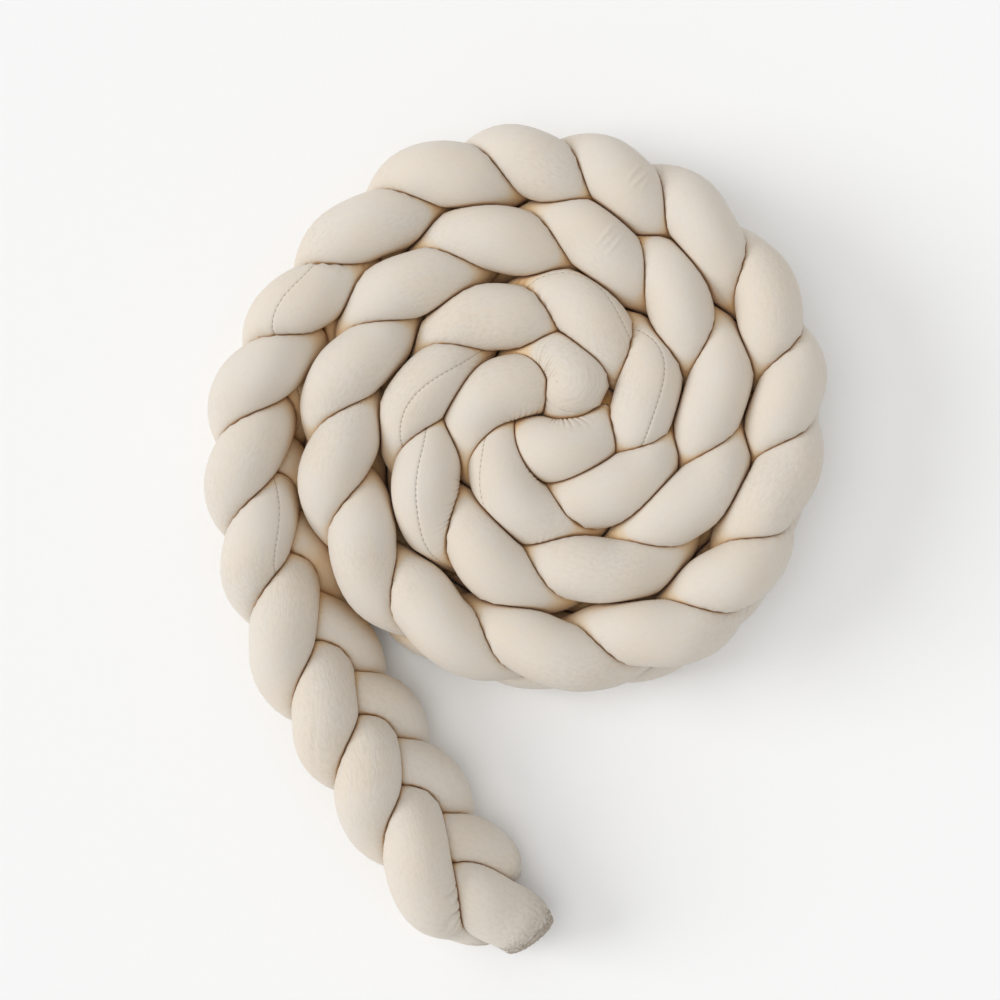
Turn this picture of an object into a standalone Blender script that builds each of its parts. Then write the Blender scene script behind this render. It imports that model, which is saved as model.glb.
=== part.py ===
"""Crib bumper: three stuffed velour tubes plaited into a flat braid of about four metres.

The braid stands on its edge and is coiled up clockwise towards the middle. Its outer end
leaves the coil, leans over and lies on the floor as a tail. Each tube is one closed solid.
Lengths are in metres, angles in degrees, lobes are counted along the braid from its tail end.
"""
import math

import bpy
import numpy as np

# Driving sizes
TUBE_RADIUS = 0.0335        # a stuffed tube where nothing presses on it
HALF_WIDTH = 0.040          # the braid's middle line to the middle of a tube at its edge
SEAT_HEIGHT = 0.027         # a tube's middle where it lies flattened on the floor
STRANDS = 3

# How the tubes press on each other
GAP = 0.0012                # clearance between two faceted tubes
REACH = 0.16                # neighbours further off than this don't press
SELF_REACH = 2.4            # diameters along a tube before it can press on itself
SLIMMEST = 0.8              # a pressed tube's free side stays at least this many radii out
FULLEST = 1.05              # and bulges to at most this many
CORNER = 14.0               # how sharply a pressed face turns into the free side
BULGE_BLEND = 0.020         # length over which the bulge evens out along a tube

# How finely everything is worked out
SIDES = 12                  # round a tube
RING_SPACING = 0.0225       # along a tube
FIRST_RING = 0.6            # from a sewn end's last ring to the even run, in ring spacings
ROUTE_STEPS = 8000
MARK_STEP = 0.2             # lobes between the marks that a strand's line runs through
LINE_STEP = 0.001
FRAME_STEP = 0.002
PRESS_STEP = 0.008          # between the spots of a neighbour that press
PHASE_STEP = 2              # degrees
BISECTIONS = 16
CLEARING_PASSES = 4
CLEARING_THIN = 4           # every so many points of a line are enough to keep clear of it

# A tube's end is sewn flat: this long, this thick and this wide against the free tube
END_LENGTH = 0.030
END_THICKNESS = 0.34
END_WIDTH = 0.88
END_FLARE = 2.6             # power by which the width grows towards the seam
END_RINGS = (0.0, 0.004, 0.011, 0.021)

# The braid's middle line, seen from above, about the coil's axis, and how far a tube's
# middle swings from it to either face of the braid
ROUTE_COLUMNS = ("turns", "radius", "lobes", "roll", "swing")
ROUTE = (
    (0.0265, 0.4980, 0.62, 36, 0.0145),
    (0.0428, 0.4600, 1.23, 42, 0.0155),
    (0.069, 0.4040, 2.18, 42, 0.0150),
    (0.105, 0.3630, 3.32, 42, 0.0145),
    (0.145, 0.3320, 4.24, 37, 0.0135),
    (0.190, 0.3105, 5.24, 33, 0.0130),
    (0.250, 0.3005, 6.55, 24, 0.0120),
    (0.330, 0.2695, 8.20, 23, 0.0105),
    (0.430, 0.2735, 9.81, 8, 0.0115),
    (0.500, 0.2655, 11.09, 3, 0.0100),
    (0.620, 0.2545, 13.17, 8, 0.0105),
    (0.680, 0.2545, 14.03, 6, 0.0085),
    (0.750, 0.2485, 15.29, 4, 0.0100),
    (0.810, 0.2455, 16.15, 2, 0.0085),
    (0.870, 0.2530, 17.18, 0, 0.0105),
    (1.000, 0.2370, 18.98, -2, 0.0105),
    (1.125, 0.2350, 20.60, 0, 0.0105),
    (1.250, 0.2145, 22.40, 0, 0.0120),
    (1.500, 0.1960, 25.44, 0, 0.0115),
    (1.750, 0.1780, 28.24, 0, 0.0125),
    (2.000, 0.1590, 30.44, 0, 0.0115),
    (2.250, 0.1315, 32.65, 0, 0.0105),
    (2.500, 0.1190, 34.51, 0, 0.0105),
    (2.750, 0.1080, 36.25, 0, 0.0110),
    (3.000, 0.0920, 37.66, 0, 0.0095),
    (3.250, 0.0605, 38.67, 0, 0.0140),
    (3.500, 0.0540, 39.56, 0, 0.0115),
    (3.750, 0.0410, 40.54, 0, 0.0115),
    (4.000, 0.0260, 41.22, 0, 0.0115),
)

# Where each strand leaves the braid at the tail, and its way from its end to there (x, y, z)
TAIL_ENDS = {
    "strand_a": (0.80, ((-0.047, -0.514, 0.024), (-0.068, -0.520, 0.028), (-0.095, -0.513, 0.043))),
    "strand_b": (0.75, ((-0.072, -0.492, 0.024), (-0.060, -0.472, 0.027))),
    "strand_c": (
        1.15,
        (
            (-0.017, -0.544, 0.038),
            (-0.033, -0.525, 0.050),
            (-0.054, -0.512, 0.062),
            (-0.075, -0.496, 0.070),
        ),
    ),
}

# The same at the middle of the coil, from the braid to the strand's end
CORE_ENDS = {
    "strand_a": (
        40.0,
        (
            (0.026, 0.036, 0.103),
            (0.027, 0.022, 0.090),
            (0.025, 0.010, 0.072),
            (0.020, -0.003, 0.054),
            (0.012, -0.012, 0.038),
            (0.000, -0.012, 0.027),
        ),
    ),
    "strand_b": (
        40.4,
        (
            (0.057, 0.004, 0.076),
            (0.055, -0.010, 0.086),
            (0.046, -0.021, 0.097),
            (0.032, -0.028, 0.105),
            (0.014, -0.031, 0.108),
            (-0.002, -0.029, 0.103),
            (-0.016, -0.024, 0.089),
            (-0.025, -0.013, 0.068),
            (-0.026, 0.002, 0.045),
        ),
    ),
    "strand_c": (40.55, ((0.039, -0.017, 0.026), (0.031, -0.030, 0.026))),
}

# Base colours of the same cloth, a shade apart
COLOURS = {
    "strand_a": (0.80, 0.74, 0.63, 1.0),
    "strand_b": (0.78, 0.72, 0.61, 1.0),
    "strand_c": (0.82, 0.76, 0.66, 1.0),
}
ROUGHNESS = 0.95


def clear_scene():
    for item in list(bpy.data.objects):
        bpy.data.objects.remove(item, do_unlink=True)


def smooth_curve(knots, values, at):
    """Natural cubic curve through the values at the knots, read at other places."""
    knots = np.asarray(knots, float)
    values = np.asarray(values, float)
    count = len(knots)
    step = np.diff(knots)
    matrix = np.eye(count)
    right = np.zeros(values.shape)
    for i in range(1, count - 1):
        matrix[i, i - 1 : i + 2] = step[i - 1], 2 * (step[i - 1] + step[i]), step[i]
        rise_after = (values[i + 1] - values[i]) / step[i]
        rise_before = (values[i] - values[i - 1]) / step[i - 1]
        right[i] = 6 * (rise_after - rise_before)
    bend = np.linalg.solve(matrix, right)
    k = np.clip(np.searchsorted(knots, at) - 1, 0, count - 2)
    column = (-1,) + (1,) * (values.ndim - 1)
    past = (at - knots[k]).reshape(column)
    span = step[k].reshape(column)
    cubic = (bend[k + 1] - bend[k]) / (6 * span)
    slope = (values[k + 1] - values[k]) / span - span * (2 * bend[k] + bend[k + 1]) / 6
    return ((cubic * past + bend[k] / 2) * past + slope) * past + values[k]


def lengths_along(points):
    steps = np.linalg.norm(np.diff(points, axis=0), axis=1)
    return np.concatenate(([0.0], np.cumsum(steps)))


def read_along(points, places):
    along = lengths_along(points)
    return np.stack([np.interp(places, along, points[:, k]) for k in range(3)], axis=1)


def unit(vectors):
    size = np.linalg.norm(vectors, axis=-1, keepdims=True)
    return vectors / np.maximum(size, 1e-9)


def braid_line():
    """The braid's middle line, its width direction, its swing to a face and the lobes passed."""
    route = dict(zip(ROUTE_COLUMNS, np.array(ROUTE, float).T))
    turns = np.linspace(route["turns"][0], route["turns"][-1], ROUTE_STEPS)
    radius = smooth_curve(route["turns"], route["radius"], turns)
    lobes = smooth_curve(route["turns"], route["lobes"], turns)
    roll = np.radians(smooth_curve(route["turns"], route["roll"], turns))[:, None]
    swing = smooth_curve(route["turns"], route["swing"], turns)[:, None]
    angle = -math.pi / 2 - 2 * math.pi * turns
    middle = np.stack([radius * np.cos(angle), radius * np.sin(angle), 0 * angle], axis=1)
    up = np.array([0.0, 0.0, 1.0])
    outward = np.cross(up, unit(np.gradient(middle, axis=0)))
    across = up * np.cos(roll) + outward * np.sin(roll)
    through = (outward * np.cos(roll) - up * np.sin(roll)) * swing
    # The middle line is as high as its lowest lobe needs to reach the floor
    phase = np.radians(np.arange(0, 360, PHASE_STEP))
    reach = HALF_WIDTH * np.cos(phase) * np.cos(roll)
    reach = reach + swing * np.sin(2 * phase) * np.abs(np.sin(roll))
    middle[:, 2] = SEAT_HEIGHT + reach.max(axis=1)
    return middle, across, through, lobes


def strand_lines():
    """The middle line of each strand as closely spaced points, from the tail to the core."""
    middle, across, through, lobes = braid_line()
    lines = {}
    for number, name in enumerate(TAIL_ENDS):
        phase = 2 * math.pi * (lobes - 1 - number) / STRANDS
        path = middle + across * (HALF_WIDTH * np.cos(phase))[:, None]
        path = path - through * np.sin(2 * phase)[:, None]
        leaves, tail = TAIL_ENDS[name]
        enters, core = CORE_ENDS[name]
        marks = np.append(np.arange(leaves, enters, MARK_STEP), enters)
        braided = np.stack([np.interp(marks, lobes, path[:, k]) for k in range(3)], axis=1)
        knots = np.vstack([tail, braided, core])
        along = lengths_along(knots)
        lines[name] = smooth_curve(along, knots, np.arange(0, along[-1], LINE_STEP))
    return lines


def ring_places(length):
    """Distances of the rings along a tube: even in the run, closer at the two sewn ends."""
    first = END_RINGS[-1] + FIRST_RING * RING_SPACING
    count = int(round((length - 2 * first) / RING_SPACING))
    run = np.linspace(first, length - first, count + 1)
    ends = np.array(END_RINGS)
    return np.concatenate((ends, run, length - ends[::-1]))


def ring_frames(line, places):
    """Ring middles, tangents and two side directions that don't spin along the tube."""
    fine = np.arange(0, lengths_along(line)[-1], FRAME_STEP)
    points = read_along(line, fine)
    along = unit(np.gradient(points, axis=0))
    side = np.zeros_like(along)
    side[0] = unit(np.cross(along[0], (0.0, 0.0, 1.0)))
    for i in range(1, len(along)):
        side[i] = unit(side[i - 1] - along[i] * np.dot(side[i - 1], along[i]))
    middles = read_along(line, places)
    tangents = unit(np.stack([np.interp(places, fine, along[:, k]) for k in range(3)], axis=1))
    sides = np.stack([np.interp(places, fine, side[:, k]) for k in range(3)], axis=1)
    sides = unit(sides - tangents * np.sum(sides * tangents, axis=1, keepdims=True))
    return middles, tangents, sides, np.cross(tangents, sides)


def pressed_tube(name, lines, places):
    """Ring points of one tube, flattened against its neighbours, itself and the floor.

    Two tubes meet half way between their middle lines. A section keeps its area, so what
    is pressed flat on one side bulges on another.
    """
    middles, tangents, side, rise = ring_frames(lines[name], places)
    turn = np.linspace(0, 2 * math.pi, SIDES, endpoint=False)
    rays = np.cos(turn)[None, :, None] * side[:, None] + np.sin(turn)[None, :, None] * rise[:, None]
    limit = np.ones((len(places), SIDES))
    for other, line in lines.items():
        marks = np.arange(0, lengths_along(line)[-1], PRESS_STEP)
        points = read_along(line, marks)
        for i, middle in enumerate(middles):
            offset = points - middle
            distance = np.linalg.norm(offset, axis=1)
            near = distance < REACH
            if other == name:
                near = near & (np.abs(marks - places[i]) > SELF_REACH * 2 * TUBE_RADIUS)
            if near.any():
                facing = np.maximum(rays[i] @ offset[near].T, 1e-6)
                half_way = distance[near] ** 2 / (2 * facing)
                limit[i] = np.minimum(limit[i], half_way.min(axis=1) - GAP / 2)
    downward = np.maximum(-rays[..., 2], 1e-3)
    floor = middles[:, 2:3] / downward

    # The sewn end: an ellipse that lies level across the tube
    from_end = np.minimum(places, places[-1] - places)
    share = np.clip(from_end / END_LENGTH, 0, 1)[:, None]
    thick = END_THICKNESS + (1 - END_THICKNESS) * np.sqrt(1 - (1 - share) ** 2)
    wide = 1 + (END_WIDTH - 1) * (1 - share) ** END_FLARE
    level = unit(np.cross((0.0, 0.0, 1.0), tangents))
    sideways = np.sum(rays * level[:, None], axis=2)
    shape = 1 / np.sqrt((sideways / wide) ** 2 + (1 - sideways**2) / thick**2)

    def section(free):
        free = free[:, None] * shape
        return np.minimum((free**-CORNER + limit**-CORNER) ** (-1 / CORNER), floor)

    wanted = (math.pi * TUBE_RADIUS**2 * wide * thick)[:, 0]
    low = np.full(len(places), SLIMMEST * TUBE_RADIUS)
    high = np.full(len(places), FULLEST * TUBE_RADIUS)
    for _ in range(BISECTIONS):
        free = (low + high) / 2
        reach = section(free)
        corners = np.sum(reach * np.roll(reach, -1, axis=1), axis=1)
        area = math.sin(2 * math.pi / SIDES) * corners / 2
        low = np.where(area < wanted, free, low)
        high = np.where(area < wanted, high, free)
    weights = np.exp(-(((places[:, None] - places[None]) / BULGE_BLEND) ** 2))
    free = weights @ free / weights.sum(axis=1)
    return middles[:, None] + rays * section(free)[..., None], middles


def nearest(points, line):
    """Distance from each point to a line given as closely spaced points."""
    return np.array([np.linalg.norm(line - point, axis=1).min() for point in points])


def keep_clear(name, rings, middles, lines):
    """Draw rings in where the flat faces between them would cut into a neighbouring tube."""
    thinned = {other: line[::CLEARING_THIN] for other, line in lines.items()}
    for _ in range(CLEARING_PASSES):
        beside = np.roll(rings, -1, axis=1)
        along = (rings[:-1] + rings[1:]) / 2
        one_way = (rings[:-1] + beside[1:]) / 2
        other_way = (beside[:-1] + rings[1:]) / 2
        excess = []
        for spots in (along, one_way, other_way):
            flat = spots.reshape(-1, 3)
            own = nearest(flat, thinned[name])
            theirs = [nearest(flat, line) for other, line in thinned.items() if other != name]
            lack = GAP - (np.min(theirs, axis=0) - own)
            excess.append(np.maximum(lack / 2, 0).reshape(spots.shape[:2]))
        straight, one, other = excess
        draw = np.zeros(rings.shape[:2])
        draw[:-1] = np.maximum.reduce([straight, one, np.roll(other, 1, axis=1)])
        ahead = np.maximum.reduce([straight, np.roll(one, 1, axis=1), other])
        draw[1:] = np.maximum(draw[1:], ahead)
        inward = middles[:, None] - rings
        rings = rings + unit(inward) * draw[..., None]
    return rings


def loft(name, rings, middles, collection):
    """Closed mesh through the rings, with a fan over each end, in its own material."""
    count, sides = rings.shape[:2]
    verts = rings.reshape(-1, 3).tolist() + [middles[0].tolist(), middles[-1].tolist()]
    faces = []
    for i in range(count - 1):
        for k in range(sides):
            here = i * sides + k
            beside = i * sides + (k + 1) % sides
            faces.append((here, beside, beside + sides, here + sides))
    last = (count - 1) * sides
    for k in range(sides):
        beside = (k + 1) % sides
        faces.append((beside, k, count * sides))
        faces.append((last + k, last + beside, count * sides + 1))
    mesh = bpy.data.meshes.new(name)
    mesh.from_pydata(verts, [], faces)
    mesh.materials.append(velour(name))
    mesh.shade_smooth()
    item = bpy.data.objects.new(name, mesh)
    collection.objects.link(item)
    return item


def velour(name):
    material = bpy.data.materials.new(name + "_velour")
    material.use_nodes = True
    surface = material.node_tree.nodes["Principled BSDF"]
    surface.inputs["Base Color"].default_value = COLOURS[name]
    surface.inputs["Roughness"].default_value = ROUGHNESS
    surface.inputs["Metallic"].default_value = 0.0
    return material


def build():
    clear_scene()
    collection = bpy.data.collections.new("crib_bumper")
    bpy.context.scene.collection.children.link(collection)
    lines = strand_lines()
    tubes = {}
    for name, line in lines.items():
        places = ring_places(lengths_along(line)[-1])
        rings, middles = pressed_tube(name, lines, places)
        tubes[name] = keep_clear(name, rings, middles, lines), middles
    every = np.vstack([rings.reshape(-1, 3) for rings, _ in tubes.values()])
    low, high = every.min(axis=0), every.max(axis=0)
    shift = np.array([(low[0] + high[0]) / 2, (low[1] + high[1]) / 2, low[2]])
    for name, (rings, middles) in tubes.items():
        loft(name, rings - shift, middles - shift, collection)


build()
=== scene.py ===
import math

import bpy
import numpy as np
from mathutils import Matrix, Vector
from mathutils.bvhtree import BVHTree


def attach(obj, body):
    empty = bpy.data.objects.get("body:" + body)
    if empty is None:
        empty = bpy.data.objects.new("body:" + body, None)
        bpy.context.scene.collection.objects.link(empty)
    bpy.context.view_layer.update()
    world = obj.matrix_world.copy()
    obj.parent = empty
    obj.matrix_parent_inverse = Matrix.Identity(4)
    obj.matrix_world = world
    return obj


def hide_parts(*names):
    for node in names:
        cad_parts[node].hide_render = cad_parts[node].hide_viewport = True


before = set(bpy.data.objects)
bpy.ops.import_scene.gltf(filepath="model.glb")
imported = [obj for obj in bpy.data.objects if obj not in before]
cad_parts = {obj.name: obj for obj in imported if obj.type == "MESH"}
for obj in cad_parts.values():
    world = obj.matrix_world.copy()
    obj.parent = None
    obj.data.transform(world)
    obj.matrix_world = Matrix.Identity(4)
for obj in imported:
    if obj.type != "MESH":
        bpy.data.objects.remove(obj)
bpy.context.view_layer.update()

print("frame loaded:", sorted(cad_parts))

# The plait all three tubes share, in metres and degrees
plait = {
    "tubes": 3,
    "tubeRadius": 0.0335,
    "halfWidth": 0.040,            # from the braid's middle to the middle of a tube at its edge
    "seatHeight": 0.027,           # of a tube's middle where it lies on the floor
    "gap": 0.0003,                 # left between two tubes that press on each other
    "reach": 0.16,                 # only tubes nearer than this can press
    "selfReach": 2.4,              # diameters along a tube before it can press on itself
    "pressStep": 0.008,            # between the points of a neighbour that are looked at
    # the free radius that keeps the area lies between these shares of the tube's radius
    "slimmest": 0.8,
    "fullest": 1.05,
    "radiusRounds": 16,
    "bulgeBlend": 0.020,           # along a tube, over which its bulges even out
    # how sharply a pressed face turns into the free side, and where along a tube
    "corner": (14.0, 21.0),
    "cornerPlaces": (3.9, 4.5),
    "braidPoints": 8000,
    "knotStep": 0.2,               # lobes between the knots of a tube's line
    "lineStep": 0.001,
    # a sewn end: the stretch that flattens, its last thickness and width as shares of the
    # free tube's, and how soon the width has grown
    "endLength": 0.030,
    "endThickness": 0.34,
    "endWidth": 0.88,
    "endFlare": 2.6,
    "footprintMiddle": (-0.03217, -0.12464),   # seen from the coil's axis
    # the braid's way in: turns made, distance from the coil's axis, lobes passed, degrees
    # that the braid leans over, and how far its tubes swing through its thickness
    "routeColumns": ("turns", "radius", "lobes", "roll", "swing"),
    "route": (
        (0.0265, 0.4980, 0.62, 36, 0.0145),
        (0.0428, 0.4600, 1.23, 42, 0.0155),
        (0.069, 0.4040, 2.18, 42, 0.0150),
        (0.105, 0.3630, 3.32, 42, 0.0145),
        (0.145, 0.3320, 4.24, 37, 0.0135),
        (0.190, 0.3105, 5.24, 33, 0.0130),
        (0.250, 0.3005, 6.55, 24, 0.0120),
        (0.330, 0.2695, 8.20, 23, 0.0105),
        (0.430, 0.2735, 9.81, 8, 0.0115),
        (0.500, 0.2655, 11.09, 3, 0.0100),
        (0.620, 0.2545, 13.17, 8, 0.0105),
        (0.680, 0.2545, 14.03, 6, 0.0085),
        (0.750, 0.2485, 15.29, 4, 0.0100),
        (0.810, 0.2455, 16.15, 2, 0.0085),
        (0.870, 0.2530, 17.18, 0, 0.0105),
        (1.000, 0.2370, 18.98, -2, 0.0105),
        (1.125, 0.2350, 20.60, 0, 0.0105),
        (1.250, 0.2145, 22.40, 0, 0.0120),
        (1.500, 0.1960, 25.44, 0, 0.0115),
        (1.750, 0.1780, 28.24, 0, 0.0125),
        (2.000, 0.1590, 30.44, 0, 0.0115),
        (2.250, 0.1315, 32.65, 0, 0.0105),
        (2.500, 0.1190, 34.51, 0, 0.0105),
        (2.750, 0.1080, 36.25, 0, 0.0110),
        (3.000, 0.0920, 37.66, 0, 0.0095),
        (3.250, 0.0605, 38.67, 0, 0.0140),
        (3.500, 0.0540, 39.56, 0, 0.0115),
        (3.750, 0.0410, 40.54, 0, 0.0115),
        (4.000, 0.0260, 41.22, 0, 0.0115),
    ),
}

# How the cloth is made: fineness, seam and filling
cloth = {
    "sides": 82,
    "spacing": 0.0075,
    "closeSpacing": 0.0008,        # across folds and ridges
    "ridgeMargin": 0.006,
    "spacingGrowth": 0.12,         # how fast the rings grow apart beside a close stretch
    "placeStep": 0.0005,
    "seamRows": (0.0006, 0.0015, 0.0032),   # rows of points beside the seam, from its middle
    "seamStep": 0.002,
    "seamBlend": 10,               # steps to either side over which the seam's turns are rounded
    "seamDepth": 0.0008,
    "seamHalfWidth": 0.0012,
    # the filling's unevenness: waves along the tube, each longer than the one before, that
    # also run one to three times round it
    "lump": 0.0007,
    "lumpWaves": 6,
    "lumpTurns": 3,
    "lumpPitch": 0.045,
    "lumpPitchGrowth": 0.017,
    "lumpShift": 2.4,
    "lumpGain": 1.8,
    # where the filling has bunched up and the tube lies closer to the next one
    "swellColumns": ("place", "degrees", "reach", "spread", "height"),
    "swellShare": 0.8,             # of the room to the next tube that a swell can take
    "swellMargin": 0.0006,
    # single low ridges and dents left in the cloth by handling
    "ridgeColumns": ("place", "degrees", "slant", "reach", "height"),
    "ridgeWidth": 0.0012,
    "nearFrom": 0.010,             # a tube this far off begins to count as near
}

# The folds where the cloth is drawn together
gather = {
    # fade: the folds run out where the next tube is this far off
    "columns": ("place", "degrees", "reach", "spread", "depth", "pitch", "fade"),
    # the folds' lines waver: share of a pitch, waves round the tube, radians to a metre along it
    "sway": ((0.24, 3, 41), (0.16, 7, -93)),
    "pitchChange": 0.22,
    "pitchBeat": 57,
    "sharpness": 3,
    # some folds are deeper than their neighbours
    "evenDepth": 0.65,
    "extraDepth": 0.35,
    "extraPitch": 2.7,
    # shallower right at the crease, so that it doesn't open
    "creaseLoss": 0.4,
    "creaseReach": 0.003,
    # painted shade: a fold is painted brown as a crease is, the deeper the more, and the faintest not
    # at all
    "faintest": 0.0002,
    "deepest": 0.0030,
    "darkness": 0.8,
}

# The pleats and the closing seam of a sewn end
sewnEnd = {
    "pleats": 27,
    "pleatDepth": 0.0030,
    "pleatReach": 0.35,            # share of the end's length
    # the pleats aren't even: radians, and waves round the tube
    "pleatSway": ((2, 3), (1.3, 7)),
    "seam": 0.0115,                # from the very end to the seam that closes it
    "seamDepth": 0.0045,
    "seamWidth": 0.0016,
    "seamWander": 0.0010,
    "seamWaves": 5,
    "seamPucker": 0.0022,
    # the seam runs over the upper side and fades out below
    "seamSlope": 2,
    "seamBelow": 0.6,
    "dome": 0.006,
    "coilCapSky": 0.5,             # share of the sky that the hidden end's middle counts as seeing
}

# How the light that reaches each bit of cloth is judged: coarse rings of spots look outwards
sky = {
    "step": 0.009,                 # between the rings
    "sides": 20,
    "rays": 26,
    "lift": 0.003,                 # above the cloth, where the rays start
    "far": 0.12,                   # a ray this long without a hit sees the sky
    "slanted": (0.31, 0.17, 0.93),   # any direction that isn't along the cloth's normals
}


def smoothCurve(knots, values, at):
    # natural cubic through the values at the knots
    knots = np.asarray(knots, float)
    values = np.asarray(values, float)
    count = len(knots)
    step = np.diff(knots)
    matrix = np.eye(count)
    kinks = np.zeros(values.shape)
    for i in range(1, count - 1):
        matrix[i, i - 1:i + 2] = step[i - 1], 2 * (step[i - 1] + step[i]), step[i]
        ahead = (values[i + 1] - values[i]) / step[i]
        behind = (values[i] - values[i - 1]) / step[i - 1]
        kinks[i] = 6 * (ahead - behind)
    bend = np.linalg.solve(matrix, kinks)
    left = np.clip(np.searchsorted(knots, at) - 1, 0, count - 2)
    right = left + 1
    column = (-1,) + (1,) * (values.ndim - 1)
    past = (at - knots[left]).reshape(column)
    span = step[left].reshape(column)
    cubic = (bend[right] - bend[left]) / (6 * span)
    slope = (values[right] - values[left]) / span - span * (2 * bend[left] + bend[right]) / 6
    return ((cubic * past + bend[left] / 2) * past + slope) * past + values[left]


def lengthsAlong(points):
    # how far along its line each point is
    return np.concatenate(([0.0], np.cumsum(np.linalg.norm(np.diff(points, axis=0), axis=1))))


def readAlong(places, at, values):
    # the values, known at some lengths along a line, at other places on it
    return np.stack([np.interp(places, at, column) for column in values.T], axis=1)


def unit(vectors):
    return vectors / np.maximum(np.linalg.norm(vectors, axis=-1, keepdims=True), 1e-9)


def braidLine():
    # the braid's middle line, its directions across and through, and its lobes so far
    route = dict(zip(plait["routeColumns"], np.array(plait["route"], float).T))
    turns = np.linspace(route["turns"][0], route["turns"][-1], plait["braidPoints"])
    radius = smoothCurve(route["turns"], route["radius"], turns)
    lobes = smoothCurve(route["turns"], route["lobes"], turns)
    roll = np.radians(smoothCurve(route["turns"], route["roll"], turns))[:, None]
    swing = smoothCurve(route["turns"], route["swing"], turns)[:, None]
    angle = -math.pi / 2 - 2 * math.pi * turns
    middle = np.stack([radius * np.cos(angle), radius * np.sin(angle), 0 * angle], axis=1)
    up = np.array([0.0, 0.0, 1.0])
    outward = np.cross(up, unit(np.gradient(middle, axis=0)))
    across = up * np.cos(roll) + outward * np.sin(roll)
    through = (outward * np.cos(roll) - up * np.sin(roll)) * swing
    phase = np.radians(np.arange(0, 360, 2))
    drop = plait["halfWidth"] * np.cos(phase) * np.cos(roll)
    drop = drop + swing * np.sin(2 * phase) * np.abs(np.sin(roll))
    middle[:, 2] = plait["seatHeight"] + drop.max(axis=1)
    return middle, across, through, lobes


def strandLine(strand, braid):
    # close points down the middle of one tube, from its tail end
    middle, across, through, lobes = braid
    phase = 2 * math.pi * (lobes - 1 - strand["number"]) / plait["tubes"]
    path = middle + across * (plait["halfWidth"] * np.cos(phase))[:, None]
    path = path - through * np.sin(2 * phase)[:, None]
    leaves, tail = strand["tail"]
    enters, core = strand["core"]
    marks = np.append(np.arange(leaves, enters, plait["knotStep"]), enters)
    knots = np.vstack([tail, readAlong(marks, lobes, path), core])
    along = lengthsAlong(knots)
    return smoothCurve(along, knots, np.arange(0, along[-1], plait["lineStep"]))


def ringPlaces(strand, length):
    # even in the run, closer where the cloth is folded or ridged and in the strand's closeUps
    fine = np.arange(0, length, cloth["placeStep"])
    spacing = np.full(len(fine), cloth["spacing"])
    marked = [(row[0], row[2]) for row in strand["gathers"]]
    marked += [(row[0], cloth["ridgeMargin"]) for row in strand["ridges"]]
    stretches = [(place - reach, place + reach, cloth["closeSpacing"]) for place, reach in marked]
    for start, stop, close in stretches + list(strand["closeUps"]):
        past = np.maximum(np.maximum(start - fine, fine - stop), 0)
        spacing = np.minimum(spacing, close + past * cloth["spacingGrowth"])
    count = np.concatenate(([0.0], np.cumsum(np.diff(fine) / spacing[1:])))
    return np.interp(np.linspace(0, count[-1], int(count[-1]) + 1), count, fine)


def ringAngles():
    # round from the seam: a few close rows beside it, the rest even
    close = np.array(cloth["seamRows"]) / plait["tubeRadius"]
    rest = cloth["sides"] - 2 * len(close) - 1
    even = np.linspace(close[-1], 2 * math.pi - close[-1], rest + 2)[1:-1]
    return np.concatenate(([0.0], close, even, 2 * math.pi - close[::-1]))


def ripple(places, angles, seed):
    # smooth unevenness, mostly between -1 and 1, in lumps of a few centimetres
    made = np.zeros(np.broadcast(places, angles).shape)
    for wave in range(cloth["lumpWaves"]):
        pitch = cloth["lumpPitch"] + cloth["lumpPitchGrowth"] * wave
        turn = (wave + seed) % cloth["lumpTurns"] + 1
        phase = 2 * math.pi * places / pitch + turn * angles + cloth["lumpShift"] * wave * seed + seed
        made = made + np.sin(phase) / cloth["lumpWaves"]
    return made * cloth["lumpGain"]


def awayFrom(turn, degrees):
    # angle round the tube from a direction given in degrees from the top, -pi to pi
    return (turn - math.radians(degrees) + math.pi) % (2 * math.pi) - math.pi


def gathered(strand, places, turn, clearance):
    # depth of the folds where the cloth is drawn together, which start from the crease
    sway = sum(share * np.sin(waves * turn + along * places) for share, waves, along in gather["sway"])
    depth = np.zeros(turn.shape)
    for row in strand["gathers"]:
        patch = dict(zip(gather["columns"], row))
        past = places - patch["place"]
        beat = 1 + gather["pitchChange"] * np.sin(gather["pitchBeat"] * places + strand["seed"])
        pitch = patch["pitch"] * beat
        wave = (0.5 + 0.5 * np.sin(2 * math.pi * (past / pitch + sway))) ** gather["sharpness"]
        longWave = np.sin(2 * math.pi * past / (gather["extraPitch"] * patch["pitch"]) + strand["seed"])
        wave = wave * (gather["evenDepth"] + gather["extraDepth"] * longWave)
        along = past / patch["reach"]
        across = np.degrees(awayFrom(turn, patch["degrees"])) / patch["spread"]
        window = np.exp(-(along ** 4) - across ** 4 - clearance / patch["fade"])
        depth = depth + patch["depth"] * window * wave
    return depth * (1 - gather["creaseLoss"] * np.exp(-clearance / gather["creaseReach"]))


def ridged(strand, places, turn):
    # height of the single ridges and dents
    height = np.zeros(turn.shape)
    for row in strand["ridges"]:
        ridge = dict(zip(cloth["ridgeColumns"], row))
        along = places - ridge["place"]
        across = awayFrom(turn, ridge["degrees"]) * plait["tubeRadius"]
        slant = math.radians(ridge["slant"])
        off = along * math.cos(slant) - across * math.sin(slant)
        on = along * math.sin(slant) + across * math.cos(slant)
        window = np.exp(-((on / ridge["reach"]) ** 4))
        height = height + ridge["height"] * window * np.exp(-((off / cloth["ridgeWidth"]) ** 2))
    return height


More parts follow.
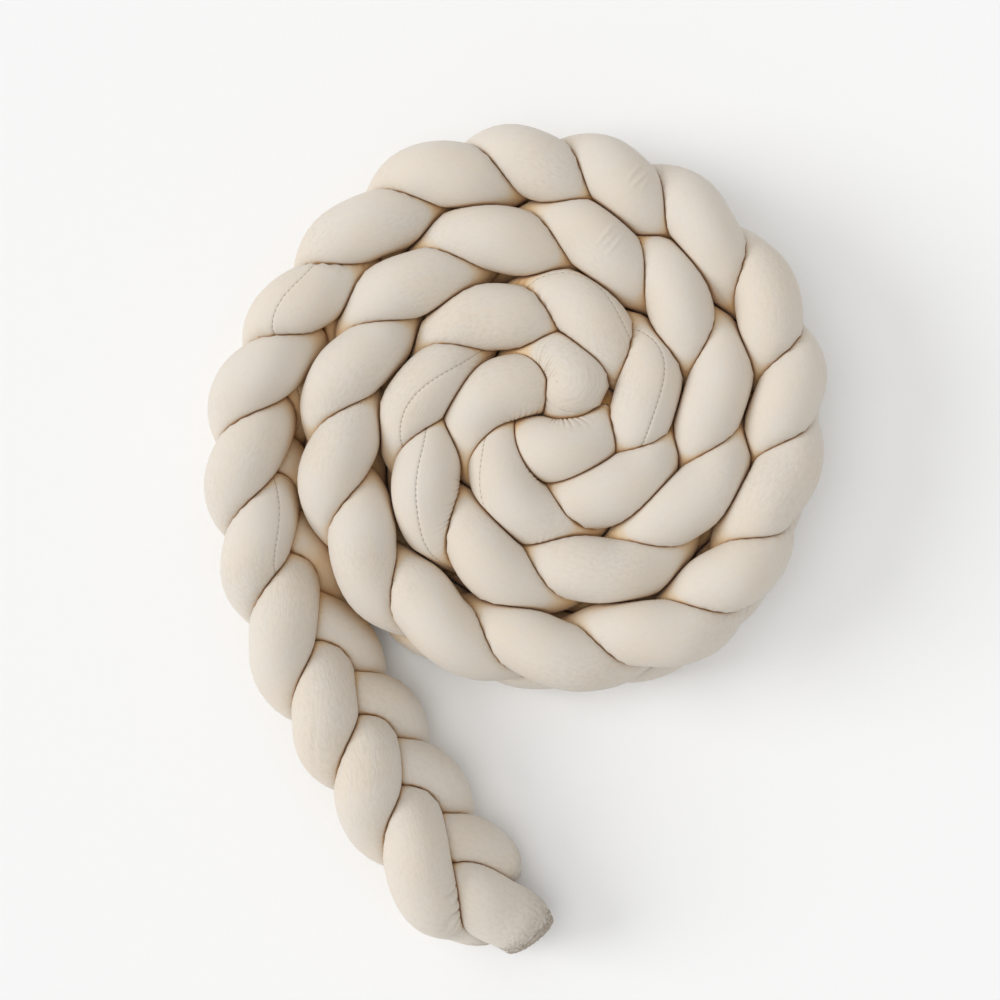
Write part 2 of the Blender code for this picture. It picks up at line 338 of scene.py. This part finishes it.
def swollen(strand, places, turn, clearance):
    # height of the bunched filling, kept off the next tube
    height = np.zeros(turn.shape)
    for row in strand["swells"]:
        swell = dict(zip(cloth["swellColumns"], row))
        along = (places - swell["place"]) / swell["reach"]
        across = np.degrees(awayFrom(turn, swell["degrees"])) / swell["spread"]
        height = height + swell["height"] * np.exp(-(along ** 2) - across ** 2)
    return np.minimum(height, cloth["swellShare"] * np.maximum(clearance - cloth["swellMargin"], 0))


def ringGrid(strand, line):
    # where the rings are, and the directions from their middles to their points
    at = lengthsAlong(line)
    places = ringPlaces(strand, at[-1])
    middles = readAlong(places, at, line)
    forward = unit(np.gradient(line, axis=0))
    tangents = unit(readAlong(places, at, forward))
    rise = unit(np.array([0.0, 0.0, 1.0]) - tangents * tangents[:, 2:3])
    side = np.cross(tangents, rise)
    seamPlaces, seamTurns = np.array(strand["seam"], float).T
    even = np.arange(0, at[-1], cloth["seamStep"])
    blend = np.hanning(2 * cloth["seamBlend"] + 1)
    seam = np.pad(np.interp(even, seamPlaces, seamTurns), cloth["seamBlend"], mode="edge")
    seam = np.convolve(seam, blend / blend.sum(), mode="valid")
    seam = np.radians(np.interp(places, even, seam))
    around = ringAngles()[None, :]
    turn = seam[:, None] + around
    rays = rise[:, None] * np.cos(turn)[..., None] + side[:, None] * np.sin(turn)[..., None]
    return {
        "places": places,
        "middles": middles,
        "tangents": tangents,
        "around": around,
        "turn": turn,
        "rays": rays,
    }


def roomAround(strand, lines, grid):
    # how far each ring point can go: half way to another tube, or to another turn of its own
    rays = grid["rays"]
    limit = np.ones(grid["turn"].shape)
    for other, beside in lines.items():
        marks = np.arange(0, lengthsAlong(beside)[-1], plait["pressStep"])
        spots = readAlong(marks, lengthsAlong(beside), beside)
        for i, middle in enumerate(grid["middles"]):
            offset = spots - middle
            distance = np.linalg.norm(offset, axis=1)
            near = distance < plait["reach"]
            if other == strand["node"]:
                apart = np.abs(marks - grid["places"][i])
                near = near & (apart > plait["selfReach"] * 2 * plait["tubeRadius"])
            if near.any():
                facing = np.maximum(rays[i] @ offset[near].T, 1e-6)
                halfWay = (distance[near] ** 2 / (2 * facing)).min(axis=1)
                limit[i] = np.minimum(limit[i], halfWay - plait["gap"] / 2)
    return limit


def squeezed(strand, grid, limit):
    # the smooth tube: cut off by its neighbours and the floor, with the free tube's area kept
    places = grid["places"]
    rays = grid["rays"]
    floor = grid["middles"][:, 2:3] / np.maximum(-rays[..., 2], 1e-3)
    share = np.clip(np.minimum(places, places[-1] - places) / plait["endLength"], 0, 1)[:, None]
    thick = plait["endThickness"] + (1 - plait["endThickness"]) * np.sqrt(1 - (1 - share) ** 2)
    wide = 1 + (plait["endWidth"] - 1) * (1 - share) ** plait["endFlare"]
    level = unit(np.cross((0.0, 0.0, 1.0), grid["tangents"]))
    sideways = np.sum(rays * level[:, None], axis=2)
    shape = 1 / np.sqrt((sideways / wide) ** 2 + (1 - sideways ** 2) / thick ** 2)
    lumps = ripple(places[:, None], grid["turn"], strand["seed"])
    shape = shape * (1 + cloth["lump"] / plait["tubeRadius"] * lumps)
    corner = np.interp(places, plait["cornerPlaces"], plait["corner"])[:, None]

    def section(free):
        free = free[:, None] * shape
        return np.minimum((free ** -corner + limit ** -corner) ** (-1 / corner), floor)

    wanted = (math.pi * plait["tubeRadius"] ** 2 * wide * thick)[:, 0]
    low = np.full(len(places), plait["slimmest"] * plait["tubeRadius"])
    high = np.full(len(places), plait["fullest"] * plait["tubeRadius"])
    wedge = np.sin(np.diff(np.append(grid["around"][0], 2 * math.pi)))
    for _ in range(plait["radiusRounds"]):
        free = (low + high) / 2
        reach = section(free)
        area = np.sum(reach * np.roll(reach, -1, axis=1) * wedge, axis=1) / 2
        low = np.where(area < wanted, free, low)
        high = np.where(area < wanted, high, free)
    weights = np.exp(-(((places[:, None] - places[None]) / plait["bulgeBlend"]) ** 2))
    weights = weights * np.gradient(places)[None]
    free = weights @ free / weights.sum(axis=1)
    return section(free)


def sewnDepth(places, turn):
    # depth of the pleats and the closing seam at both ends
    fromEnd = np.minimum(places, places[-1] - places)[:, None]
    sway = [share * np.sin(waves * turn) for share, waves in sewnEnd["pleatSway"]]
    pucker = 0.5 + 0.5 * np.sin(sewnEnd["pleats"] * turn + sway[0] + sway[1])
    pleatReach = sewnEnd["pleatReach"] * plait["endLength"]
    pleat = np.exp(-((fromEnd - sewnEnd["seam"]) / pleatReach) ** 2) * pucker
    wander = sewnEnd["seamWander"] * np.sin(sewnEnd["seamWaves"] * turn)
    wander = sewnEnd["seam"] + wander + sewnEnd["seamPucker"] * pucker
    closing = np.exp(-(((fromEnd - wander) / sewnEnd["seamWidth"]) ** 2))
    closing = closing * np.clip(np.cos(turn) * sewnEnd["seamSlope"] + sewnEnd["seamBelow"], 0, 1)
    return sewnEnd["pleatDepth"] * pleat, sewnEnd["seamDepth"] * closing


def pressTube(strand, lines):
    # ring points of a tube squeezed against its neighbours, itself and the floor
    grid = ringGrid(strand, lines[strand["node"]])
    places = grid["places"]
    middles = grid["middles"]
    around = grid["around"]
    turn = grid["turn"]
    limit = roomAround(strand, lines, grid)
    reach = squeezed(strand, grid, limit)

    # how far off the nearest neighbour is, before the folds are added
    clearance = np.maximum(limit - reach, 0)
    swell = swollen(strand, places[:, None], turn, clearance)
    reach = reach + swell
    clearance = clearance - swell
    folds = gathered(strand, places[:, None], turn, clearance)
    reach = reach - folds
    # painted shade: deep folds count as near, so the crease colour paints them brown
    asNear = cloth["nearFrom"] * (1 - gather["darkness"] * np.clip(folds / gather["deepest"], 0, 1))
    clearance = np.where(folds < gather["faintest"], clearance, np.minimum(clearance, asNear))
    reach = reach + ridged(strand, places[:, None], turn)
    fromSeam = np.minimum(around, 2 * math.pi - around) * reach
    groove = cloth["seamDepth"] * np.exp(-((fromSeam / cloth["seamHalfWidth"]) ** 2))
    pleat, closing = sewnDepth(places, turn)
    reach = reach - pleat - closing - groove
    rings = middles[:, None] + grid["rays"] * reach[..., None]
    return rings, middles, places, around, clearance


def gridNormals(rings, middles):
    # outward normals of the ring points
    along = np.gradient(rings, axis=0)
    around = np.roll(rings, -1, axis=1) - np.roll(rings, 1, axis=1)
    normals = unit(np.cross(along, around))
    outward = np.sum(normals * (rings - middles[:, None]), axis=2, keepdims=True)
    return normals * np.sign(outward)


def seenSky(pressed):
    # share of the directions in which each bit of cloth sees past all the tubes
    count = np.arange(sky["rays"]) + 0.5
    away = np.sqrt(count / sky["rays"])
    goldenAngle = math.pi * (3 - math.sqrt(5))
    swirl = count * goldenAngle
    fan = np.stack([away * np.cos(swirl), away * np.sin(swirl), np.sqrt(1 - away ** 2)], axis=1)
    coarse = {}
    verts = []
    faces = []
    for node, (rings, middles, places, around, _) in pressed.items():
        rows = np.unique(np.searchsorted(places, np.arange(0, places[-1], sky["step"])))
        columns = np.linspace(0, len(around[0]), sky["sides"], endpoint=False).astype(int)
        grid = rings[rows][:, columns]
        coarse[node] = grid, middles[rows], rows, columns
        here = len(verts) + np.arange(grid.shape[0] * grid.shape[1]).reshape(grid.shape[:2])
        beside = np.roll(here, -1, axis=1)
        quads = np.stack([here[:-1], beside[:-1], beside[1:], here[1:]], axis=-1)
        verts += grid.reshape(-1, 3).tolist()
        faces += quads.reshape(-1, 4).tolist()
    tree = BVHTree.FromPolygons(verts, faces)
    seen = {}
    for node, (grid, middles, rows, columns) in coarse.items():
        normals = gridNormals(grid, middles)
        side = unit(np.cross(normals, sky["slanted"]))
        rise = np.cross(normals, side)
        ways = (fan[:, 0, None] * side[..., None, :] + fan[:, 1, None] * rise[..., None, :]
                + fan[:, 2, None] * normals[..., None, :])
        origins = (grid + normals * sky["lift"]).reshape(-1, 3).tolist()
        casts = ways.reshape(len(origins), -1, 3).tolist()
        free = [sum(tree.ray_cast(origin, way, sky["far"])[0] is None for way in fanned)
                for origin, fanned in zip(origins, casts)]
        share = np.array(free, float).reshape(grid.shape[:2]) / sky["rays"]
        share = (share + np.roll(share, 1, axis=1) + np.roll(share, -1, axis=1)) / 3
        _, _, places, around, _ = pressed[node]
        turned = np.append(around[0][columns], 2 * math.pi)
        wrapped = np.hstack([share, share[:, :1]])
        full = np.stack([np.interp(around[0], turned, row) for row in wrapped])
        seen[node] = readAlong(places, places[rows], full)
    return seen


def addValues(mesh, name, values):
    # one number for each point, which the material reads
    layer = mesh.attributes.new(name, "FLOAT", "POINT")
    layer.data.foreach_set("value", values.astype(np.float32))


def layCloth(mesh, walls, places, around, sides):
    # the cloth's own coordinates in metres: along the tube, and round it from the seam
    girth = 2 * math.pi * plait["tubeRadius"]
    ringOf = walls // sides
    columnOf = walls % sides
    wrapped = (columnOf[:, 1] == 0)
    share = np.append(around[0], 2 * math.pi)[columnOf] / (2 * math.pi)
    share[wrapped, 1] = 1.0
    share[wrapped, 2] = 1.0
    corners = np.zeros((len(walls), 4, 2))
    corners[..., 0] = places[ringOf]
    corners[..., 1] = share * girth
    caps = np.zeros((2 * sides, 3, 2))
    caps[sides:, :, 0] = places[-1]
    layer = mesh.uv_layers.new(name="cloth")
    layer.data.foreach_set("uv", np.concatenate([corners.reshape(-1), caps.reshape(-1)]))


def makeTube(strand, pressed, seen):
    rings, middles, places, around, clearance = pressed
    shift = np.array(plait["footprintMiddle"] + (0.0,))
    rings = rings - shift
    middles = middles - shift
    ends = middles[[0, -1]] + unit(middles[[0, -1]] - middles[[1, -2]]) * sewnEnd["dome"]
    count, sides = rings.shape[:2]
    verts = np.vstack([rings.reshape(-1, 3), ends])
    column = np.arange(sides)
    nextColumn = (column + 1) % sides
    ringStart = np.arange(count - 1)[:, None] * sides
    here = ringStart + column
    beside = ringStart + nextColumn
    walls = np.stack([here, beside, beside + sides, here + sides], axis=-1).reshape(-1, 4)
    # a fan of triangles closes each end
    first = np.stack([nextColumn, column, np.full(sides, count * sides)], axis=1)
    last = np.stack([column, nextColumn, np.full(sides, count * sides + 1)], axis=1)
    last[:, :2] += (count - 1) * sides
    mesh = bpy.data.meshes.new(strand["piece"])
    mesh.from_pydata(verts.tolist(), [], walls.tolist() + first.tolist() + last.tolist())
    layCloth(mesh, walls, places, around, sides)
    # how near the next tube is, 1 where they touch, deep folds counting as near, and the share of the
    # sky that is seen: where the painted shade goes
    near = np.clip(1 - clearance / cloth["nearFrom"], 0, 1)
    addValues(mesh, "closeness", np.append(near.reshape(-1), (0.0, 0.0)))
    addValues(mesh, "openness", np.append(seen.reshape(-1), (seen[0].mean(), sewnEnd["coilCapSky"])))
    mesh.shade_smooth()
    piece = bpy.data.objects.new(strand["piece"], mesh)
    bpy.context.scene.collection.objects.link(piece)
    print(strand["piece"], "triangles", 2 * count * sides, "length", round(places[-1], 3))
    return piece


# For each tube: the lobes at which it joins and leaves the plait, each with the points of its
# loose end; the seam's degrees from the top at places along it; its folds, bunched filling and
# ridges, in the columns named above; and closeUps, stretches whose rings are closer together
strandA = {
    "piece": "tube_a",
    "node": "strand_a",
    "number": 0,
    "seed": 1,
    "tail": (0.80, (
        (-0.047, -0.514, 0.024),
        (-0.068, -0.520, 0.028),
        (-0.095, -0.513, 0.043),
    )),
    "core": (40.00, (
        (0.026, 0.036, 0.103),
        (0.027, 0.022, 0.090),
        (0.025, 0.010, 0.072),
        (0.020, -0.003, 0.054),
        (0.012, -0.012, 0.038),
        (0.000, -0.012, 0.027),
    )),
    "seam": ((0.0, 180), (5.1, 180)),
    "gathers": (
        (0.097, 12, 0.024, 75, 0.0062, 0.0064, 0.046),
        (4.911, 28, 0.017, 60, 0.0040, 0.0042, 0.030),
    ),
    "swells": (
        (3.796, -66, 0.032, 45, 0.0038),
        (2.520, 55, 0.032, 45, 0.0032),
        (2.356, 76, 0.032, 45, 0.0038),
    ),
    "ridges": (
        (0.774, -14, 24, 0.006, -0.0014),
        (0.781, -19, -20, 0.004, -0.0008),
        (1.901, 40, 8, 0.010, 0.0005),
    ),
    "closeUps": ((0.0, 0.012, 0.0030), (4.74, 5.1, 0.0040)),
}
strandB = {
    "piece": "tube_b",
    "node": "strand_b",
    "number": 1,
    "seed": 2,
    "tail": (0.75, (
        (-0.072, -0.492, 0.024),
        (-0.060, -0.472, 0.027),
    )),
    "core": (40.40, (
        (0.057, 0.004, 0.076),
        (0.055, -0.010, 0.086),
        (0.046, -0.021, 0.097),
        (0.032, -0.028, 0.105),
        (0.014, -0.031, 0.108),
        (-0.002, -0.029, 0.103),
        (-0.016, -0.024, 0.089),
        (-0.025, -0.013, 0.068),
        (-0.026, 0.002, 0.045),
    )),
    "seam": (
        (0.0, 190),
        (0.40, 150),
        (0.50, 80),
        (0.557, 44),
        (0.600, 28),
        (0.65, 20),
        (0.83, 26),
        (0.856, 7),
        (0.882, -20),
        (0.900, -34),
        (0.94, -75),
        (1.05, -150),
        (3.65, -160),
        (3.75, -90),
        (3.798, -48),
        (3.833, -13),
        (3.871, -13),
        (3.905, 4),
        (3.96, 50),
        (4.08, 60),
        (4.20, -60),
        (4.246, -40),
        (4.290, -30),
        (4.40, -60),
        (4.56, -85),
        (4.614, -57),
        (4.639, -33),
        (4.667, -15),
        (4.700, -2),
        (4.78, 70),
        (4.90, 160),
        (5.1, 180),
    ),
    "gathers": (
        (3.834, 46, 0.032, 60, 0.0036, 0.0052, 0.010),
        (4.612, 50, 0.018, 50, 0.0020, 0.0058, 0.007),
        (4.571, -14, 0.014, 50, 0.0014, 0.0055, 0.006),
        (4.974, 44, 0.022, 55, 0.0032, 0.0056, 0.010),
    ),
    "swells": (
        (3.815, -46, 0.038, 45, 0.0042),
        (2.360, 68, 0.038, 45, 0.0032),
    ),
    "ridges": (
        (2.684, -27, 6, 0.011, 0.0004),
        (3.073, -13, 4, 0.014, 0.0007),
        (3.078, -12, 2, 0.010, 0.0005),
        (3.083, -14, 5, 0.013, 0.0006),
    ),
    "closeUps": ((0.0, 0.012, 0.0030), (4.66, 5.1, 0.0040)),
}
strandC = {
    "piece": "tube_c",
    "node": "strand_c",
    "number": 2,
    "seed": 3,
    "tail": (1.15, (
        (-0.017, -0.544, 0.038),
        (-0.033, -0.525, 0.050),
        (-0.054, -0.512, 0.062),
        (-0.075, -0.496, 0.070),
    )),
    "core": (40.55, (
        (0.039, -0.017, 0.026),
        (0.031, -0.030, 0.026),
    )),
    "seam": (
        (0.0, 180),
        (3.80, 180),
        (3.90, -80),
        (3.955, -25),
        (3.996, -10),
        (4.025, -5),
        (4.055, 4),
        (4.080, 20),
        (4.107, 45),
        (4.16, 90),
        (4.27, 60),
        (4.33, 0),
        (4.381, -30),
        (4.413, -20),
        (4.441, -20),
        (4.475, -4),
        (4.52, 30),
        (4.60, 120),
        (4.75, 180),
        (5.1, 180),
    ),
    "gathers": ((4.820, 60, 0.028, 60, 0.0026, 0.0052, 0.006),),
    "swells": ((3.813, -44, 0.032, 45, 0.0038), (2.553, 72, 0.032, 45, 0.0024)),
    "ridges": (
        (0.373, -16, 70, 0.016, -0.0009),
        (1.421, -24, 4, 0.013, 0.0007),
        (1.427, -26, 0, 0.015, 0.0008),
        (1.432, -22, 6, 0.008, 0.0005),
    ),
    "closeUps": ((0.0, 0.030, 0.0010), (0.03, 0.12, 0.0035), (4.70, 5.1, 0.0040)),
}
strands = (strandA, strandB, strandC)

braid = braidLine()
lines = {strand["node"]: strandLine(strand, braid) for strand in strands}
pressed = {strand["node"]: pressTube(strand, lines) for strand in strands}
print("tubes pressed")
seen = seenSky(pressed)
print("sky seen")
tubes = {}
for strand in strands:
    node = strand["node"]
    tubes[node] = makeTube(strand, pressed[node], seen[node])
print("tubes made")


class Wire:
    # a shader socket that can be added, multiplied and so on
    def __init__(self, socket, shade):
        self.socket = socket
        self.shade = shade

    def __add__(self, other):
        return self.shade.maths("ADD", self, other)

    def __radd__(self, other):
        return self.shade.maths("ADD", other, self)

    def __sub__(self, other):
        return self.shade.maths("SUBTRACT", self, other)

    def __rsub__(self, other):
        return self.shade.maths("SUBTRACT", other, self)

    def __mul__(self, other):
        return self.shade.maths("MULTIPLY", self, other)

    def __rmul__(self, other):
        return self.shade.maths("MULTIPLY", other, self)


class Shade:
    # one material and its nodes
    def __init__(self, name):
        self.material = bpy.data.materials.new(name)
        self.material.use_nodes = True
        self.tree = self.material.node_tree
        self.surface = self.tree.nodes["Principled BSDF"]

    def feed(self, socket, value):
        if isinstance(value, Wire):
            self.tree.links.new(value.socket, socket)
        else:
            socket.default_value = value

    def node(self, kind, settings, inputs, output=0):
        made = self.tree.nodes.new(kind)
        for key, value in settings.items():
            setattr(made, key, value)
        for key, value in inputs.items():
            self.feed(made.inputs[key], value)
        return Wire(made.outputs[output], self)

    def maths(self, operation, *values):
        return self.node("ShaderNodeMath", {"operation": operation}, dict(enumerate(values)))

    def attribute(self, name):
        return self.node("ShaderNodeAttribute", {"attribute_name": name}, {}, "Fac")

    def mixColour(self, factor, first, second, blend="MIX"):
        # sockets 6 and 7 and output 2 are the node's colour ones
        settings = {"data_type": "RGBA", "blend_type": blend}
        return self.node("ShaderNodeMix", settings, {0: factor, 6: first, 7: second}, 2)

    def stretched(self, place, scale):
        # a higher scale makes the pattern shorter that way
        return self.node("ShaderNodeMapping", {}, {"Vector": place, "Scale": scale})

    def noise(self, place, scale, detail, rough):
        inputs = {"Vector": place, "Scale": scale, "Detail": detail, "Roughness": rough}
        return self.node("ShaderNodeTexNoise", {}, inputs)

    def ramp(self, value, low, high):
        # 0 up to low, 1 from high on
        inputs = {"Value": value, "From Min": low, "From Max": high}
        return self.node("ShaderNodeMapRange", {"interpolation_type": "SMOOTHSTEP"}, inputs)


# Each noise is a scale, a detail and a roughness; each range is where a ramp starts and ends;
# a share is how much of that layer shows
velour = {
    "cream": (0.738, 0.674, 0.590, 1),
    "warm": (0.740, 0.654, 0.548, 1),
    "cool": (0.708, 0.662, 0.600, 1),
    "patches": (14.0, 2.0, 0.5),
    "patchRange": (0.35, 0.70),
    "streaks": (1.0, 3.0, 0.5),
    "streakScale": (22.0, 150.0, 1.0),
    "streakRange": (0.45, 0.75),
    "streakShare": 0.45,
    "mottle": (330.0, 3.0, 0.6),
    "mottleRange": (0.40, 0.72),
    "mottleShare": 0.30,
    "hollowShadeTint": (1.03, 0.865, 0.63, 1),   # painted shade: what light passed from pile to pile does in a hollow
    "hollowRange": (0.10, 0.48),            # by the share of the sky that is seen
    # painted shade, darker still where hardly any sky is seen
    "deepShadeTint": (0.96, 0.86, 0.72, 1),
    "deepRange": (0.02, 0.22),
    # painted shade: brown in the creases, where the next tube is near
    "crease": (0.52, 0.29, 0.11, 1),
    "creaseRange": (0.72, 1.0),             # by how near the next tube is
    "seamRange": (0.0002, 0.0008),          # from the seam's middle to its edge
    "seamDip": 0.0007,
    # painted shade in the seam's groove and at its stitches
    "stitchPitShade": (0.47, 0.39, 0.30, 1),
    "stitchPitShadeShare": 0.70,
    "stitchPitch": 0.0038,
    "stitchRange": (0.1, 0.7),
    "betweenStitches": 0.22,
    "pile": (1300.0, 3.0, 0.6),
    "pileHeight": 0.00032,
    "tufts": (1.0, 4.0, 0.62),
    "tuftScale": (200.0, 290.0, 1.0),
    "tuftHeight": 0.0017,
    "tuftShade": (0.84, 0.80, 0.75, 1),
    "tuftRange": (0.38, 0.56),
    # shares of that height and shade: everywhere, more where stirred, more again where fluffy
    "tuftRelief": (0.14, 0.6, 2.2),
    "tuftShadow": (0.08, 0.30, 0.62),
    "ruffledRange": (0.286, 0.52),          # the first half metre from the tail's ends is ruffled
    "ruffledShare": 0.4,
    "handled": (8.0, 1.0, 0.5),             # and so are patches all over, from handling
    "handledRange": (0.46, 0.64),
    "handledShare": 0.7,
    "fluffyRange": (0.0192, 0.048),         # at the very ends of the tail the pile stands up
    "stripShade": (0.76, 0.73, 0.70, 1),     # painted shade on the strip beyond the closing seam
    "stripRange": (0.74, 0.92),             # shares of the way to that seam
    "tuckPitch": 0.0058,
    "tuckDepth": 0.0011,
    "roughness": (0.86, 0.98),
    "specular": 0.06,
    "sheen": 0.22,
    "sheenRoughness": 0.5,
    "sheenTint": (0.94, 0.97, 1.0, 1),
}


def velourFor(strand):
    shade = Shade(strand["piece"] + "_velour")
    spot = shade.node("ShaderNodeTexCoord", {}, {}, "Object")
    onCloth = shade.node("ShaderNodeUVMap", {"uv_map": "cloth"}, {})
    along = shade.node("ShaderNodeSeparateXYZ", {}, {0: onCloth}, "X")
    around = shade.node("ShaderNodeSeparateXYZ", {}, {0: onCloth}, "Y")

    # tone: broad patches where the nap lies another way, streaks along the tube, fine mottling
    patches = shade.noise(spot, *velour["patches"])
    streaks = shade.noise(shade.stretched(onCloth, velour["streakScale"]), *velour["streaks"])
    streaks = shade.ramp(streaks, *velour["streakRange"]) * velour["streakShare"]
    mottle = shade.ramp(shade.noise(spot, *velour["mottle"]), *velour["mottleRange"])
    tone = shade.mixColour(shade.ramp(patches, *velour["patchRange"]), velour["cream"], velour["warm"])
    tone = shade.mixColour(streaks, tone, velour["cool"])
    tone = shade.mixColour(mottle * velour["mottleShare"], tone, velour["cool"])

    # painted shade: light that has gone from pile to pile, painted as tan in the hollows and brown in
    # the creases
    openToSky = shade.attribute("openness")
    hollow = 1 - shade.ramp(openToSky, *velour["hollowRange"])
    deep = 1 - shade.ramp(openToSky, *velour["deepRange"])
    # painted shade: the creases are painted brown
    crease = shade.ramp(shade.attribute("closeness"), *velour["creaseRange"])
    tone = shade.mixColour(hollow, tone, velour["hollowShadeTint"], "MULTIPLY")
    tone = shade.mixColour(deep, tone, velour["deepShadeTint"], "MULTIPLY")
    tone = shade.mixColour(crease, tone, velour["crease"])

    # the lengthwise seam, with its stitches as short dark dips: painted shade in the seam's groove,
    # darker at each stitch
    girth = 2 * math.pi * plait["tubeRadius"]
    fromSeam = shade.maths("MINIMUM", around, girth - around)
    nearSeam = 1 - shade.ramp(fromSeam, *velour["seamRange"])
    beat = shade.maths("SINE", along * (2 * math.pi / velour["stitchPitch"]))
    stitch = shade.ramp(beat, *velour["stitchRange"])
    seam = nearSeam * (velour["betweenStitches"] + (1 - velour["betweenStitches"]) * stitch)
    tone = shade.mixColour(seam * velour["stitchPitShadeShare"], tone, velour["stitchPitShade"])

    # the pile: a fine grain all over, and tufts where it has been ruffled
    ruffled = 1 - shade.ramp(along, *velour["ruffledRange"])
    handled = shade.ramp(shade.noise(spot, *velour["handled"]), *velour["handledRange"])
    stirred = shade.maths("MAXIMUM", ruffled * velour["ruffledShare"], handled * velour["handledShare"])
    fluffy = 1 - shade.ramp(along, *velour["fluffyRange"])
    pile = shade.noise(spot, *velour["pile"])
    tuft = shade.noise(shade.stretched(onCloth, velour["tuftScale"]), *velour["tufts"])
    everywhere, whereStirred, whereFluffy = velour["tuftRelief"]
    relief = everywhere + whereStirred * stirred + whereFluffy * fluffy
    height = pile * velour["pileHeight"] + tuft * relief * velour["tuftHeight"]
    height = height - seam * velour["seamDip"]
    everywhere, whereStirred, whereFluffy = velour["tuftShadow"]
    shadow = everywhere + whereStirred * stirred + whereFluffy * fluffy
    sunk = (1 - shade.ramp(tuft, *velour["tuftRange"])) * shadow
    tone = shade.mixColour(sunk, tone, velour["tuftShade"], "MULTIPLY")

    # painted shade on the strip beyond the closing seam, with a tucked edge
    tuck = shade.maths("SINE", around * (2 * math.pi / velour["tuckPitch"]))
    start, stop = [share * sewnEnd["seam"] for share in velour["stripRange"]]
    strip = 1 - shade.ramp(along + tuck * velour["tuckDepth"], start, stop)
    tone = shade.mixColour(strip, tone, velour["stripShade"], "MULTIPLY")

    bump = shade.node("ShaderNodeBump", {}, {"Height": height, "Strength": 1.0, "Distance": 1.0})
    low, high = velour["roughness"]
    inputs = {
        "Base Color": tone,
        "Roughness": low + (high - low) * pile,
        "Normal": bump,
        "Specular IOR Level": velour["specular"],
        "Sheen Weight": velour["sheen"],
        "Sheen Roughness": velour["sheenRoughness"],
        "Sheen Tint": velour["sheenTint"],
    }
    for name, value in inputs.items():
        shade.feed(shade.surface.inputs[name], value)
    return shade.material


for strand in strands:
    piece = tubes[strand["node"]]
    piece.data.materials.append(velourFor(strand))
    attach(piece, "root")
    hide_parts(strand["node"])
print("velour on")


studio = {
    "floorSize": 40.0,
    "floorColour": (0.955, 0.958, 0.96, 1),
    "floorRoughness": 0.9,
    "floorSpecular": 0.1,
    "daylight": 0.588,
    # far, wide soft boxes; the spread is in degrees
    "lampColumns": ("strength", "spread", "from", "colour"),
    "lamps": {
        "key": (1.27, 30.0, (-1.0, 0.06, 0.56), (0.985, 0.99, 1.0)),
        "overhead": (0.63, 46.0, (-0.26, -0.02, 1.0), (1.0, 0.985, 0.955)),
    },
    "photoMiddle": (-0.0146, 0.0425, 0.11),   # the point at the middle of the photo
    "distance": 2.3,
    "span": 1.04,                  # metres across the photo at that point
    "tilt": 3.0,                   # off straight down, towards the lower right
    "sensorWidth": 36,
}


def makeFloor():
    half = studio["floorSize"] / 2
    mesh = bpy.data.meshes.new("floor")
    corners = [(-half, -half, 0), (half, -half, 0), (half, half, 0), (-half, half, 0)]
    mesh.from_pydata(corners, [], [(0, 1, 2, 3)])
    floor = bpy.data.objects.new("floor", mesh)
    bpy.context.scene.collection.objects.link(floor)
    shade = Shade("floor_paper")
    shade.feed(shade.surface.inputs["Base Color"], studio["floorColour"])
    shade.feed(shade.surface.inputs["Roughness"], studio["floorRoughness"])
    shade.feed(shade.surface.inputs["Specular IOR Level"], studio["floorSpecular"])
    mesh.materials.append(shade.material)


def makeLamps():
    for name, row in studio["lamps"].items():
        box = dict(zip(studio["lampColumns"], row))
        lamp = bpy.data.lights.new(name, "SUN")
        lamp.energy = box["strength"]
        lamp.angle = math.radians(box["spread"])
        lamp.color = box["colour"]
        item = bpy.data.objects.new(name, lamp)
        bpy.context.scene.collection.objects.link(item)
        item.location = box["from"]
        item.rotation_euler = (-Vector(box["from"])).to_track_quat("-Z", "Y").to_euler()


def makeCamera():
    camera = bpy.data.cameras.new("photo_camera")
    item = bpy.data.objects.new("photo_camera", camera)
    bpy.context.scene.collection.objects.link(item)
    camera.sensor_width = studio["sensorWidth"]
    camera.lens = studio["sensorWidth"] * studio["distance"] / studio["span"]
    tilt = math.radians(studio["tilt"])
    aside = math.sin(tilt) * math.sqrt(0.5)
    back = Vector((aside, -aside, math.cos(tilt)))
    upward = (Vector((0, 1, 0)) - back * back.y).normalized()
    right = upward.cross(back)
    item.location = Vector(studio["photoMiddle"]) + back * studio["distance"]
    turn = Matrix((right, upward, back)).transposed()
    item.rotation_euler = turn.to_euler()
    bpy.context.scene.camera = item


def makeDaylight():
    world = bpy.data.worlds.new("studio")
    bpy.context.scene.world = world
    world.use_nodes = True
    background = world.node_tree.nodes["Background"]
    background.inputs["Color"].default_value = (1, 1, 1, 1)
    background.inputs["Strength"].default_value = studio["daylight"]


makeFloor()
makeLamps()
makeDaylight()
bpy.context.scene.view_settings.view_transform = "Standard"
makeCamera()
print("studio set")
